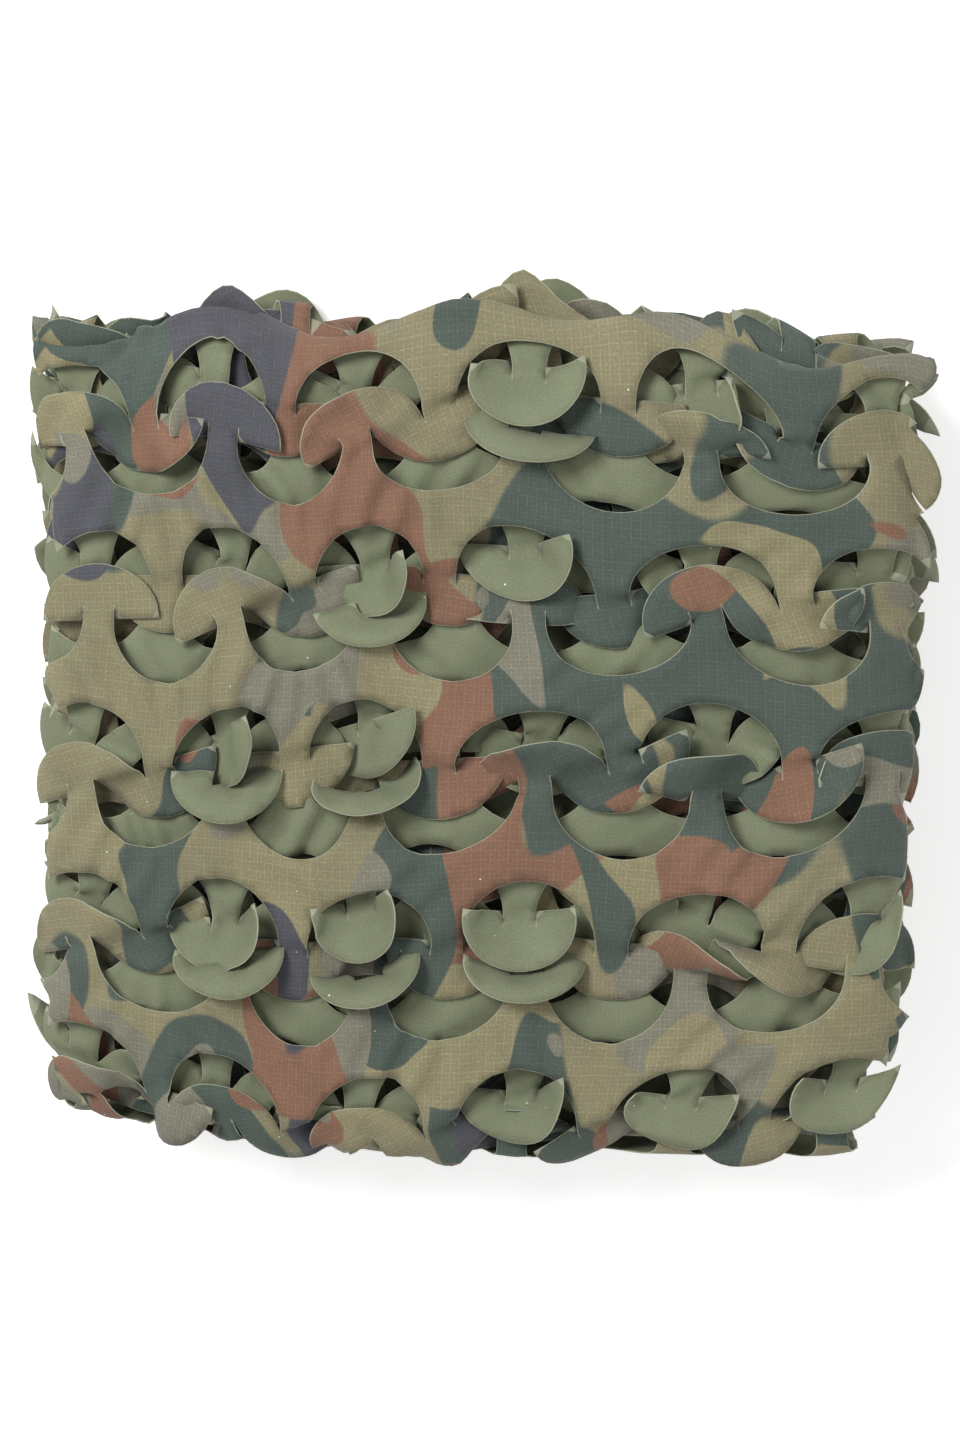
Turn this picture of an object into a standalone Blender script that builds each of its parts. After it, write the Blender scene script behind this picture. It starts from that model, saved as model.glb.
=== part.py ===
"""A leaf-cut camouflage net, folded back and forth into a flat, square bundle and lying on its back.

Metres, +Z up. The bundle rests on z = 0 with its printed face up. X runs along the folds and Y across them.
The net is one sheet: it is drawn flat with its cuts, drawn open row by row, folded, and given its thickness.
Far means towards +Y and near towards -Y. Along the flat sheet, s grows from the end on the floor to the end
on top, and the turns lie alternately on the far and the near side.
"""

import math
import random
from collections import namedtuple

import bmesh
import bpy
from mathutils import Vector
from mathutils.geometry import delaunay_2d_cdt

THICKNESS = 0.0015  # the cloth, with its fuzzy edges and small ripples

# The cut pattern: rows of S-shaped slits, each freeing half a leaf above it and half a leaf below it
LEAF_PITCH = 0.0625  # from one leaf to the next along a row
STALK = 0.0125  # width of the neck that holds a leaf
LEAF_RADIUS = (LEAF_PITCH - STALK) / 2
ROW_PITCH = 0.054  # from one row of slits to the next in the flat sheet
PULL = 0.0125  # how far each row is drawn open
OPEN_PITCH = ROW_PITCH + PULL
FIRST_LEAF = -0.13875  # the leaf column nearest the left edge
SLITS = 4  # whole slits in a row
MARGIN_LEFT = FIRST_LEAF - LEAF_RADIUS + 1e-6
MARGIN_RIGHT = FIRST_LEAF + SLITS * LEAF_PITCH + LEAF_RADIUS - 1e-6
MARGIN_RUN = 0.035  # beside the slits, the cloth stretches open over this length of each row
ROWS = 4  # rows of cuts across a layer
TOP_ROWS = 5  # one more on the top layer, which rolls over the near side
FIRST_ROW = 0.034  # from the far turn to the first row
ARC_STEPS = 6  # straight runs in a half-round cut of the top layer
GAP_ARC = (16, 164, 5)  # the outer curve of a drawn gap: its angles in degrees and its steps
GAP_INNER_ARC = (146, 34, 3)

# The sheet
LEFT_EDGE = -0.190  # flat, before it is pushed together
RIGHT_EDGE = 0.155
GATHER = 0.20  # how much shorter the left side becomes where it is pushed together
GATHER_RUN = 0.060  # how far from the middle that starts to show
LOBE = (0.004, 0.012)  # how far the leaves on a cut edge stand out
LOBE_STEPS = 4
LOBE_SHARE = 0.38  # half a leaf's width as a share of the pitch
GRID_COLUMNS = 9
GRID_SHARES = (0.06, 0.16, 0.33, 0.5, 0.67, 0.84, 0.94)
GRID_CLEAR = 0.008
FOLD_STEPS = 4
FOLD_LENGTH = 0.014
FOLD_BULGE = 1.3  # a soft fold is rounder than a half circle

Layer = namedtuple("Layer", "height left right turn_left turn_middle turn_right cuts")
# One row for each layer, from the floor up. height is at the crown. left and right scale the two sides.
# The turn columns say how far out the layer's last turn lies at the left, middle and right of the bundle.
LAYERS = (
    Layer(0.000, 0.99, 0.95, 0.136, 0.142, 0.128, "all"),
    Layer(0.012, 1.01, 0.98, 0.106, 0.128, 0.130, "few"),
    Layer(0.023, 1.03, 1.00, 0.141, 0.146, 0.130, "few"),
    Layer(0.034, 1.02, 1.02, 0.104, 0.125, 0.127, "few"),
    Layer(0.045, 1.03, 1.01, 0.143, 0.148, 0.131, "few"),
    Layer(0.056, 1.01, 1.00, 0.100, 0.121, 0.122, "few"),
    Layer(0.068, 1.00, 0.98, 0.140, 0.144, 0.127, "all"),
    Layer(0.083, 0.99, 0.97, 0.000, 0.000, 0.000, "slits"),
)
FLOOR_END = (0.110, 0.130, 0.132)  # how far the free end on the floor reaches, as in the turn columns
HUMP_X = 0.012  # the folds are bunched up at the far side here
HUMP_WIDTH = 0.035
HUMP = 0.006

# The crown: every layer is flat in the middle and bends towards mid height near the bundle's edges
TOP_HEIGHT = LAYERS[-1].height
LEFT_REACH = 0.158
RIGHT_REACH = 0.154
DEPTH_REACH = 0.152
EDGE_START = 0.72  # share of the way out to the edge where that bend starts
CROWN_POWER = 5
TOP_DROP = 0.50
FLOOR_RISE = 0.20
SWELL = 0.0024  # uneven lumps under the top layers
LUMP = (0.031, 0.037)  # how long the main lumps run along X and Y
CROSS_LUMP = (0.019, 0.043)

# The top layer's free end rolls over the near side and hangs there
ROLL_START = (0.100, 0.121, 0.126)  # at the left, middle and right, as in the turn columns
ROLL_RADIUS = 0.028
TAIL = 0.024

# How far the freed half leaves of the top layer stand up, and sink, at their tips
TIP_UP = (0.0065, 0.011)
TIP_DOWN = 0.005
BRIDGE_TWIST = (0.001, 0.0035)
KERF = 0.001  # how much narrower a twisted pair of half leaves looks
SEED = 7


def side_value(row, x):
    """Reads a (left, middle, right) row at x, rounding smoothly from the middle to either side."""
    left, middle, right = row
    edge, limit = (left, LEFT_EDGE * (1 - GATHER)) if x < 0 else (right, RIGHT_EDGE)
    return middle + (edge - middle) * min(x / limit, 1.1) ** 2


def turn_reach(turn, x):
    """How far out from the middle a turn lies at x. Turn 0 is the free end on the floor."""
    if turn == 0:
        return side_value(FLOOR_END, x)
    layer = LAYERS[turn - 1]
    reach = side_value((layer.turn_left, layer.turn_middle, layer.turn_right), x)
    if turn % 2:
        reach += HUMP * layer.height / TOP_HEIGHT * math.exp(-(((x - HUMP_X) / HUMP_WIDTH) ** 2))
    return reach


def turn_y(turn, x):
    return turn_reach(turn, x) if turn % 2 else -turn_reach(turn, x)


def roll_over(past):
    """How far out and how far down a point lies that is this far past the start of the roll."""
    if past <= 0:
        return past, 0.0
    angle = min(past / ROLL_RADIUS, math.pi / 2)
    straight = past - angle * ROLL_RADIUS
    return ROLL_RADIUS * math.sin(angle), ROLL_RADIUS * (1 - math.cos(angle)) + straight


def edge_bend(x, y, near_too):
    """0 over the flat middle of a layer, rising to 1 at its edges along a quarter circle."""
    out_x = abs(x) / (LEFT_REACH if x < 0 else RIGHT_REACH)
    out_y = abs(y) / DEPTH_REACH if y > 0 or near_too else 0.0
    out = (out_x**CROWN_POWER + out_y**CROWN_POWER) ** (1 / CROWN_POWER)
    t = min(max((out - EDGE_START) / (1 - EDGE_START), 0.0), 0.98)
    return 1 - math.sqrt(1 - t * t)


def lumps(x, y):
    main = math.sin(x / LUMP[0] + 0.6) * math.sin(y / LUMP[1] + 1.1)
    return SWELL * (main + 0.6 * math.sin(x / CROSS_LUMP[0] - y / CROSS_LUMP[1]))


def height_at(index, x, y):
    layer = LAYERS[index]
    middle = TOP_HEIGHT / 2
    bend = edge_bend(x, y, index < len(LAYERS) - 1)
    share = TOP_DROP if layer.height > middle else FLOOR_RISE
    level = layer.height + (middle - layer.height) * share * bend
    return THICKNESS / 2 + level + lumps(x, y) * max(0.0, layer.height / TOP_HEIGHT - 0.15)


def gathered(x):
    """The flat sheet is pushed together towards its left edge."""
    return x * (1 - GATHER * (1 - math.exp(min(x, 0.0) / GATHER_RUN)))


def layer_length(index):
    """How long a layer is along s, measured at the middle of the bundle."""
    start = turn_reach(index, 0)
    if index < len(LAYERS) - 1:
        return start + turn_reach(index + 1, 0)
    return start + ROLL_START[1] + ROLL_RADIUS * math.pi / 2 + TAIL


def layer_starts():
    """Where each layer starts along s, with a fold's length before each but the first."""
    starts = [0.0]
    for index in range(len(LAYERS) - 1):
        starts.append(starts[-1] + layer_length(index) + FOLD_LENGTH)
    return starts


STARTS = layer_starts()
TOP = len(LAYERS) - 1


def across(flat_x, index):
    x = gathered(flat_x)
    return x * (LAYERS[index].left if x < 0 else LAYERS[index].right)


def on_layer(flat_x, along, index):
    """A point of the folded sheet, along being measured from the layer's start."""
    x = across(flat_x, index)
    start = turn_y(index, x)
    if index < TOP:
        y = start + (turn_y(index + 1, x) - start) * along / layer_length(index)
        return Vector((x, y, height_at(index, x, y)))
    roll = side_value(ROLL_START, x)
    past = along * (start + roll) / (turn_reach(index, 0) + ROLL_START[1]) - start - roll
    out, down = roll_over(past)
    y = -roll - out
    return Vector((x, y, height_at(index, x, y) - down))


def on_fold(flat_x, share, index):
    """A point of the fold that joins a layer to the one above it, share running from 0 to 1."""
    low = on_layer(flat_x, layer_length(index), index)
    high = on_layer(flat_x, 0.0, index + 1)
    side = Vector((0, 1 if index % 2 == 0 else -1, 0))
    radius = (high - low).length / 2
    middle = low.lerp(high, (1 - math.cos(math.pi * share)) / 2)
    return middle + side * radius * FOLD_BULGE * math.sin(math.pi * share)


def on_sheet(flat_x, s):
    index = max(i for i, start in enumerate(STARTS) if s >= start - 1e-9 or i == 0)
    along = s - STARTS[index]
    if index == TOP or along <= layer_length(index):
        return on_layer(flat_x, along, index)
    return on_fold(flat_x, (along - layer_length(index)) / FOLD_LENGTH, index)


def slit_rows(index):
    """Where the rows of cuts cross a layer, as it lies drawn open."""
    count = TOP_ROWS if index == TOP else ROWS
    first = FIRST_ROW if index % 2 else layer_length(index) - FIRST_ROW - (count - 1) * OPEN_PITCH
    return [first + row * OPEN_PITCH for row in range(count)]


def arc(centre_x, centre_s, radius, start, end, steps):
    """Points along part of a circle in the flat sheet, from one angle to another in degrees."""
    angles = [math.radians(start + (end - start) * i / steps) for i in range(steps + 1)]
    return [(centre_x + radius * math.cos(a), centre_s + radius * math.sin(a)) for a in angles]


def slit(leaf_x, row_s, upward, whole):
    """The open path of one S-shaped slit. upward is the sign of s towards the leaf's stalk."""
    path = arc(leaf_x, 0, LEAF_RADIUS, 180, 360, ARC_STEPS)
    if whole:
        path += arc(leaf_x + LEAF_PITCH / 2, 0, LEAF_RADIUS, 180, 0, ARC_STEPS)
    return [(x, row_s + upward * s) for x, s in path]


def crescent(centre_x, row_s, direction):
    """The gap that opens beside a half leaf when the row is drawn open, as a closed outline."""
    outer = arc(centre_x, 0, LEAF_RADIUS, *GAP_ARC)
    inner = arc(centre_x, -PULL, LEAF_RADIUS, *GAP_INNER_ARC)
    return [(x, row_s + direction * s) for x, s in outer + inner]


def lobed_edge(length, pitch, rand):
    """(along, out) of points on a cut edge, where half leaves stand out of it."""
    count = int(length / pitch)
    margin = (length - count * pitch) / 2
    points = []
    for lobe in range(count):
        centre = margin + (lobe + 0.5) * pitch
        reach = rand.uniform(*LOBE)
        for step in range(LOBE_STEPS + 1):
            angle = math.pi * step / LOBE_STEPS
            out = reach * math.sin(angle) ** 0.6 if 0 < step < LOBE_STEPS else 0.0
            points.append((centre - LOBE_SHARE * pitch * math.cos(angle), out))
    return points


class Drawing:
    """The flat drawing of the sheet: its points and the lines that its faces must follow."""

    def __init__(self):
        self.points = []
        self.lines = []
        self.slit_lines = set()

    def add(self, points, closed=False, is_slit=False):
        first = len(self.points)
        self.points += [Vector(p) for p in points]
        ends = list(range(first, len(self.points)))
        pairs = list(zip(ends, ends[1:])) + ([(ends[-1], first)] if closed else [])
        if is_slit:
            self.slit_lines.update(range(len(self.lines), len(self.lines) + len(pairs)))
        self.lines += pairs


def flat_top_row(row_s):
    """The top layer is drawn before its rows are pulled open, so its rows lie closer together."""
    row = round((row_s - slit_rows(TOP)[0]) / OPEN_PITCH)
    return row_s - (row + 0.5) * PULL


def top_flat_length():
    return layer_length(TOP) - len(slit_rows(TOP)) * PULL


def drawn_length(index):
    return top_flat_length() if index == TOP else layer_length(index)


def draw_outline(drawing, rand):
    """The sheet's outline: its two free ends and, layer by layer, its two side edges."""
    width = RIGHT_EDGE - LEFT_EDGE
    last = STARTS[TOP] + drawn_length(TOP)
    sides = {LEFT_EDGE: [], RIGHT_EDGE: []}
    for index, start in enumerate(STARTS):
        pitch = ROW_PITCH if index == TOP else OPEN_PITCH
        for edge_x, points in sides.items():
            outward = math.copysign(1, edge_x)
            lobes = lobed_edge(drawn_length(index), pitch, rand)
            points += [(edge_x + outward * out, start + along) for along, out in lobes]
            if index < TOP:
                points += [(edge_x, s) for s in fold_lines(index)]
    floor_end = [(LEFT_EDGE + along, -out) for along, out in lobed_edge(width, LEAF_PITCH, rand)]
    top_end = [(LEFT_EDGE + along, last + out) for along, out in lobed_edge(width, LEAF_PITCH, rand)]
    corners = [(LEFT_EDGE, 0.0), (RIGHT_EDGE, 0.0), (RIGHT_EDGE, last), (LEFT_EDGE, last)]
    outline = corners[:1] + floor_end + corners[1:2] + sides[RIGHT_EDGE]
    outline += corners[2:3] + top_end[::-1] + corners[3:] + sides[LEFT_EDGE][::-1]
    drawing.add(outline, closed=True)


def fold_lines(index):
    """Where the sheet is creased across, from the end of a layer to the start of the next."""
    start = STARTS[index] + layer_length(index)
    return [start + FOLD_LENGTH * step / FOLD_STEPS for step in range(FOLD_STEPS + 1)]


def draw_sheet():
    drawing = Drawing()
    draw_outline(drawing, random.Random(SEED))
    columns = [LEFT_EDGE + (RIGHT_EDGE - LEFT_EDGE) * i / GRID_COLUMNS for i in range(GRID_COLUMNS + 1)]
    crescents = [outline for index in range(TOP) for outline in layer_crescents(index)]
    for outline in crescents:
        drawing.add(outline, closed=True)
    for index in range(TOP):
        for s in fold_lines(index):
            drawing.add([(x, s) for x in columns])
        if LAYERS[index].cuts == "few":
            add_grid(drawing, columns[1:-1], index, crescents)
    for row_s in slit_rows(TOP):
        for number in range(SLITS + 1):
            leaf_x = FIRST_LEAF + number * LEAF_PITCH
            drawing.add(slit(leaf_x, STARTS[TOP] + flat_top_row(row_s), -1, number < SLITS), is_slit=True)
    return drawing, crescents


def layer_crescents(index):
    """The gaps of a layer that is cut as drawn open: every one, or one in four of each kind."""
    cuts = LAYERS[index].cuts
    stalk_side = -1 if index % 2 else 1
    step = 1 if cuts == "all" else 2
    found = []
    for row_s in slit_rows(index)[::step]:
        for number in range(0, SLITS + 1, step):
            leaf_x = FIRST_LEAF + number * LEAF_PITCH
            centre_s = STARTS[index] + row_s
            found.append(crescent(leaf_x, centre_s, -stalk_side))
            if cuts == "all" and number < SLITS:
                found.append(crescent(leaf_x + LEAF_PITCH / 2, centre_s, stalk_side))
    return found


def add_grid(drawing, columns, index, crescents):
    """Loose points that let an uncut stretch of a layer bend, clear of the gaps."""
    for share in GRID_SHARES:
        s = STARTS[index] + share * layer_length(index)
        for x in columns:
            if all(math.dist((x, s), corner) > GRID_CLEAR for gap in crescents for corner in gap):
                drawing.points.append(Vector((x, s)))


def inside(point, outline):
    """True if a flat point lies inside a closed outline."""
    crossings = 0
    for (ax, ay), (bx, by) in zip(outline, outline[1:] + outline[:1]):
        if (ay > point[1]) != (by > point[1]):
            crossings += point[0] < ax + (point[1] - ay) / (by - ay) * (bx - ax)
    return crossings % 2 == 1


def smooth(t):
    t = min(max(t, 0.0), 1.0)
    return t * t * (3 - 2 * t)


class TopCloth:
    """How the top layer moves when its rows are drawn open. up is measured towards the far side."""

    def __init__(self):
        rand = random.Random(SEED + 1)
        self.rows = [STARTS[TOP] + flat_top_row(row_s) for row_s in slit_rows(TOP)]
        keys = [(row, number) for row in range(len(self.rows)) for number in range(-2, SLITS + 3)]
        self.tips = {key: rand.uniform(*TIP_UP) for key in keys}
        self.twists = {key: rand.uniform(*BRIDGE_TWIST) for key in keys}

    def moved(self, x, s, probe):
        """(x, s, lift) of a vertex drawn open. probe is a flat point inside one of the vertex's own faces."""
        row = min(range(len(self.rows)), key=lambda i: abs(probe[1] - self.rows[i]))
        up = self.rows[row] - s
        probe_up = self.rows[row] - probe[1]
        if not MARGIN_LEFT < x < MARGIN_RIGHT:
            return x, s + (row + smooth(-up / MARGIN_RUN)) * PULL, 0.0
        number = round((probe[0] - FIRST_LEAF) / LEAF_PITCH)
        leaf_x = FIRST_LEAF + number * LEAF_PITCH
        if self.has_slit(number) and probe_up < 0 and math.dist((probe[0], probe_up), (leaf_x, 0)) < LEAF_RADIUS:
            share, inward, lift = self.leaf(x - leaf_x, up, row, number, probe[0] - leaf_x)
            return x + inward, s + (row + 1 - share) * PULL, lift
        number = math.floor((probe[0] - FIRST_LEAF) / LEAF_PITCH)
        cap_x = FIRST_LEAF + (number + 0.5) * LEAF_PITCH
        whole = 0 <= number < SLITS
        if whole and probe_up > 0 and math.dist((probe[0], probe_up), (cap_x, 0)) < LEAF_RADIUS:
            share, inward, lift = self.cap(x - cap_x, up, row, number, probe[0] - cap_x)
            return x - inward, s + (row + 1 - share) * PULL, lift
        return x, s + (row + (probe_up < 0)) * PULL, 0.0

    @staticmethod
    def has_slit(number):
        return 0 <= number <= SLITS

    def leaf(self, x, up, row, number, probe_x):
        """The half disc that hangs from the band above: free on its right, bridged on its left."""
        run = LEAF_RADIUS - STALK / 2
        if probe_x > 0:
            down = TIP_DOWN if number < SLITS else 0.0
            return 1.0, 0.0, -down * max(0.0, (x - STALK / 2) / run) ** 2
        bridged = number > 0
        ramp = smooth((x + LEAF_RADIUS) / run) if bridged else 1.0
        lift = self.twists[row, number] * (-up / LEAF_RADIUS) * smooth(-x / run)
        return ramp, KERF * smooth(-x / run), lift

    def cap(self, x, up, row, number, probe_x):
        """The half disc that rises from the band below: free on its left, bridged on its right."""
        run = LEAF_RADIUS - STALK / 2
        if probe_x < 0:
            return 0.0, 0.0, self.tips[row, number] * max(0.0, (-x - STALK / 2) / run) ** 2
        ramp = smooth((x - STALK / 2) / run)
        lift = -self.twists[row, number + 1] * (up / LEAF_RADIUS) * smooth(x / run)
        return ramp, KERF * smooth(x / run), lift


def fold_sheet(bm):
    """Moves every vertex of the flat drawing to its place in the folded bundle."""
    cloth = TopCloth()
    places = {}
    for vert in bm.verts:
        x, s = vert.co.x, vert.co.y
        lift = 0.0
        if s > STARTS[TOP] + 1e-6:
            centres = [face.calc_center_median() for face in vert.link_faces]
            x, s, lift = cloth.moved(x, s, min(centres, key=lambda centre: (centre - vert.co).length))
        place = on_sheet(x, s)
        if lift:
            along = on_sheet(x, s + 0.002) - on_sheet(x, s - 0.002)
            sideways = on_sheet(x + 0.002, s) - on_sheet(x - 0.002, s)
            place += along.cross(sideways).normalized() * lift
        places[vert] = place
    for vert, place in places.items():
        vert.co = place


def net_mesh():
    drawing, crescents = draw_sheet()
    points, edges, faces, _, edge_sources, _ = delaunay_2d_cdt(drawing.points, drawing.lines, [], 1, 1e-6)
    bm = bmesh.new()
    verts = [bm.verts.new((p.x, p.y, 0)) for p in points]
    for face in faces:
        middle = sum((points[i] for i in face), Vector((0, 0))) / len(face)
        if not any(inside(middle, outline) for outline in crescents):
            bm.faces.new([verts[i] for i in face])
    slits = []
    for (a, b), sources in zip(edges, edge_sources):
        edge = bm.edges.get((verts[a], verts[b]))
        if edge and drawing.slit_lines.intersection(sources):
            slits.append(edge)
    bmesh.ops.split_edges(bm, edges=slits)
    bmesh.ops.delete(bm, geom=[v for v in bm.verts if not v.link_faces], context="VERTS")
    fold_sheet(bm)
    bmesh.ops.recalc_face_normals(bm, faces=bm.faces)
    mesh = bpy.data.meshes.new("camo_net")
    bm.to_mesh(mesh)
    bm.free()
    return mesh


def cloth_material():
    material = bpy.data.materials.new("printed ripstop cloth")
    material.use_nodes = True
    shader = material.node_tree.nodes["Principled BSDF"]
    shader.inputs["Base Color"].default_value = (0.098, 0.108, 0.062, 1)
    shader.inputs["Roughness"].default_value = 0.85
    shader.inputs["Metallic"].default_value = 0.0
    return material


def main():
    for obj in list(bpy.data.objects):
        bpy.data.objects.remove(obj, do_unlink=True)
    collection = bpy.data.collections.new("camouflage net")
    bpy.context.scene.collection.children.link(collection)
    net = bpy.data.objects.new("camo_net", net_mesh())
    net.data.materials.append(cloth_material())
    collection.objects.link(net)
    wall = net.modifiers.new("Cloth thickness", "SOLIDIFY")
    wall.thickness = THICKNESS
    wall.offset = 0.0


main()
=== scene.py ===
"""A leaf-cut camouflage net folded into a flat square bundle: the dressed cloth over its plain solid.

Metres, +Z up. The bundle lies on z = 0, printed face up. Far means towards +Y and near towards -Y.
"""

import math

import bmesh
import bpy
import numpy as np
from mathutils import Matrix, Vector
from mathutils.geometry import delaunay_2d_cdt
from mathutils.kdtree import KDTree


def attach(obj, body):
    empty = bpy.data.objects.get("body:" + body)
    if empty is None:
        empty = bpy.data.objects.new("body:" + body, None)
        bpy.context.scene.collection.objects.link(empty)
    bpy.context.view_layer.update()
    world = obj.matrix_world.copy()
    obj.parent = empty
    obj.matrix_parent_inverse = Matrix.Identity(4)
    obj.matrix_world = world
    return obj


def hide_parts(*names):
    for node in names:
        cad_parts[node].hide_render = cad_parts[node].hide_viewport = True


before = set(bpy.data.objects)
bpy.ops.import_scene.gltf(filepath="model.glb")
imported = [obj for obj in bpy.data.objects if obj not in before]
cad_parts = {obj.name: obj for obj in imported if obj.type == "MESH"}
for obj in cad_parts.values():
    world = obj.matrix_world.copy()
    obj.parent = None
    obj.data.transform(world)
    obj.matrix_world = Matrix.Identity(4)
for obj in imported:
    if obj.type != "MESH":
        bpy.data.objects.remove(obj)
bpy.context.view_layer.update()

# ---------------------------------------------------------------------------------------------------------
# The cut sheets. The net is one length of printed ripstop cloth, die-cut with rows of S-shaped slits that
# each free half a leaf above the row and half a leaf below it, then drawn open and folded back and forth.
# Each piece below is one fold of it: a lower layer with its reverse up and an upper layer with its print up.

LEAF_PITCH = 0.0625
STALK = 0.0125
LEAF_RADIUS = (LEAF_PITCH - STALK) / 2
LEAF_RISE = 0.0215
RELIEF = 0.0055  # the short cuts on both sides of a stalk run this far into its leaf


def arc(centre_x, centre_s, start, end, spacing):
    steps = max(2, round(LEAF_RADIUS * math.radians(abs(end - start)) / spacing))
    angles = np.radians(np.linspace(start, end, steps + 1))
    return np.stack([centre_x + LEAF_RADIUS * np.cos(angles), centre_s + LEAF_RISE * np.sin(angles)], axis=1)


def straight(start, end, spacing):
    steps = max(1, round(math.dist(start, end) / spacing))
    return np.linspace(start, end, steps + 1)


def s_slit(leaf_x, row_s, spacing):
    """The paths of one slit. The leaf lies towards growing s and the cap towards falling s."""
    cap_x = leaf_x + LEAF_PITCH / 2
    neck = STALK / 2
    leaf_arc = arc(leaf_x, row_s, 180, 0, spacing)
    step = straight((leaf_x + LEAF_RADIUS, row_s), (leaf_x + neck, row_s), spacing)
    cap_arc = arc(cap_x, row_s, 180, 360, spacing)
    end = cap_arc[-1]
    after = straight(end, (end[0], row_s + RELIEF), spacing)
    before = straight((leaf_x - LEAF_RADIUS, row_s - RELIEF), (leaf_x - LEAF_RADIUS, row_s), spacing)
    main = np.concatenate([before[:-1], leaf_arc, step[1:], cap_arc[1:], after[1:]])
    leaf_relief = straight((leaf_x + neck, row_s), (leaf_x + neck, row_s + RELIEF), spacing)
    cap_relief = straight((leaf_x + LEAF_RADIUS, row_s), (leaf_x + LEAF_RADIUS, row_s - RELIEF), spacing)
    return [main, leaf_relief, cap_relief]


LEFT_EDGE = -0.186  # where the side edges run before their lobes stand out
RIGHT_EDGE = 0.153
LOBE_LENGTH = 0.033
LEAST_LOBE = 0.002
LOBE_SPREAD = 0.013
LOBE_STEPS = 8
LOBE_BLUNTNESS = 0.7


def scalloped(length, rng):
    """How far a side edge stands out at evenly spaced points along it: one lobe for each half leaf."""
    count = max(2, round(length / LOBE_LENGTH))
    reach = LEAST_LOBE + LOBE_SPREAD * rng.uniform(0, 1, count) ** 2
    t = np.linspace(0, count, count * LOBE_STEPS + 1)[:-1]
    lobe = np.minimum(t.astype(int), count - 1)
    return t / count * length, reach[lobe] * np.abs(np.sin(np.pi * (t - lobe))) ** LOBE_BLUNTNESS


def sheet_outline(length, spacing, rng):
    """The closed outline of a flat sheet, resampled to even steps."""
    along_left, out_left = scalloped(length, rng)
    along_right, out_right = scalloped(length, rng)
    left = np.stack([LEFT_EDGE - out_left, along_left], axis=1)
    right = np.stack([RIGHT_EDGE + out_right, along_right], axis=1)
    corners = np.array([[RIGHT_EDGE, length], [LEFT_EDGE, length]])
    ring = np.concatenate([right, corners, left[1:][::-1], left[:1]])
    ring = np.concatenate([ring, ring[:1]])
    run = np.concatenate([[0], np.cumsum(np.linalg.norm(np.diff(ring, axis=0), axis=1))])
    at = np.linspace(0, run[-1], round(run[-1] / spacing) + 1)[:-1]
    return np.stack([np.interp(at, run, ring[:, 0]), np.interp(at, run, ring[:, 1])], axis=1)


def far_from(points, others, gap):
    """For each point, whether it lies further than gap from all the others."""
    tree = KDTree(len(others))
    for number, (x, s) in enumerate(others):
        tree.insert((x, s, 0), number)
    tree.balance()
    return np.array([tree.find((x, s, 0))[2] > gap for x, s in points])


def largest_piece(bm):
    """Removes every scrap that the outline cuts off the sheet."""
    left = set(bm.verts)
    pieces = []
    while left:
        front = [left.pop()]
        piece = set(front)
        while front:
            vert = front.pop()
            around = {edge.other_vert(vert) for edge in vert.link_edges} & left
            left -= around
            piece |= around
            front += around
        pieces.append(piece)
    scraps = set(bm.verts) - max(pieces, key=len)
    bmesh.ops.delete(bm, geom=sorted(scraps, key=lambda v: v.index), context="VERTS")


COLUMNS = range(-2, 6)
SIDE_ROOM = 0.012  # the inner points reach this far past the straight side edges, into their lobes
GRID_START = 0.4  # this and the next three are shares of the mesh's spacing
GRID_ROW = 0.866
GRID_JITTER = 0.07
GRID_CLEARANCE = 0.62
MERGE_DISTANCE = 1e-6


def cut_sheet(rows, first_leaf, length, spacing, rng, freed):
    """A bmesh of the flat sheet with its slits open, faces wound so that their normals leave the print.

    freed lists the caps, by row and column, that are cut loose from the leaf on their right.
    """
    paths = [sheet_outline(length, spacing, rng)]
    for number, row_s in enumerate(rows):
        for column in COLUMNS:
            leaf_x = first_leaf + column * LEAF_PITCH
            paths += s_slit(leaf_x, row_s, spacing)
            if (number, column) in freed:
                cap_x = leaf_x + LEAF_PITCH / 2
                paths.append(straight((cap_x + STALK / 2, row_s), (cap_x + LEAF_RADIUS, row_s), spacing))
    points, lines, slit_lines = [], [], set()
    for number, path in enumerate(paths):
        first = len(points)
        points += [tuple(p) for p in path]
        ids = list(range(first, len(points)))
        pairs = list(zip(ids, ids[1:])) + ([(ids[-1], first)] if number == 0 else [])
        if number:
            slit_lines.update(range(len(lines), len(lines) + len(pairs)))
        lines += pairs
    xs = np.arange(LEFT_EDGE - SIDE_ROOM, RIGHT_EDGE + SIDE_ROOM, spacing)
    ys = np.arange(spacing * GRID_START, length, spacing * GRID_ROW)
    grid_x, grid_s = np.meshgrid(xs, ys)
    grid_x = grid_x + (np.arange(len(ys)) % 2)[:, None] * spacing / 2
    grid = np.stack([grid_x.ravel(), grid_s.ravel()], axis=1)
    grid = grid + rng.uniform(-GRID_JITTER, GRID_JITTER, grid.shape) * spacing
    grid = grid[far_from(grid, np.array(points), GRID_CLEARANCE * spacing)]
    points += [tuple(p) for p in grid]
    corners = [Vector(p) for p in points]
    found, edges, faces, _, sources, _ = delaunay_2d_cdt(corners, lines, [], 1, MERGE_DISTANCE)
    bm = bmesh.new()
    verts = [bm.verts.new((p.x, p.y, 0)) for p in found]
    for face in faces:
        bm.faces.new([verts[i] for i in reversed(face)])
    slits = []
    for (a, b), source in zip(edges, sources):
        edge = bm.edges.get((verts[a], verts[b]))
        if edge and slit_lines.intersection(source) and not edge.is_boundary:
            slits.append(edge)
    bmesh.ops.split_edges(bm, edges=slits)
    bm.verts.index_update()
    largest_piece(bm)
    bm.verts.index_update()
    return bm


TINY = 1e-9  # keeps a division from failing where two points coincide


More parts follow.
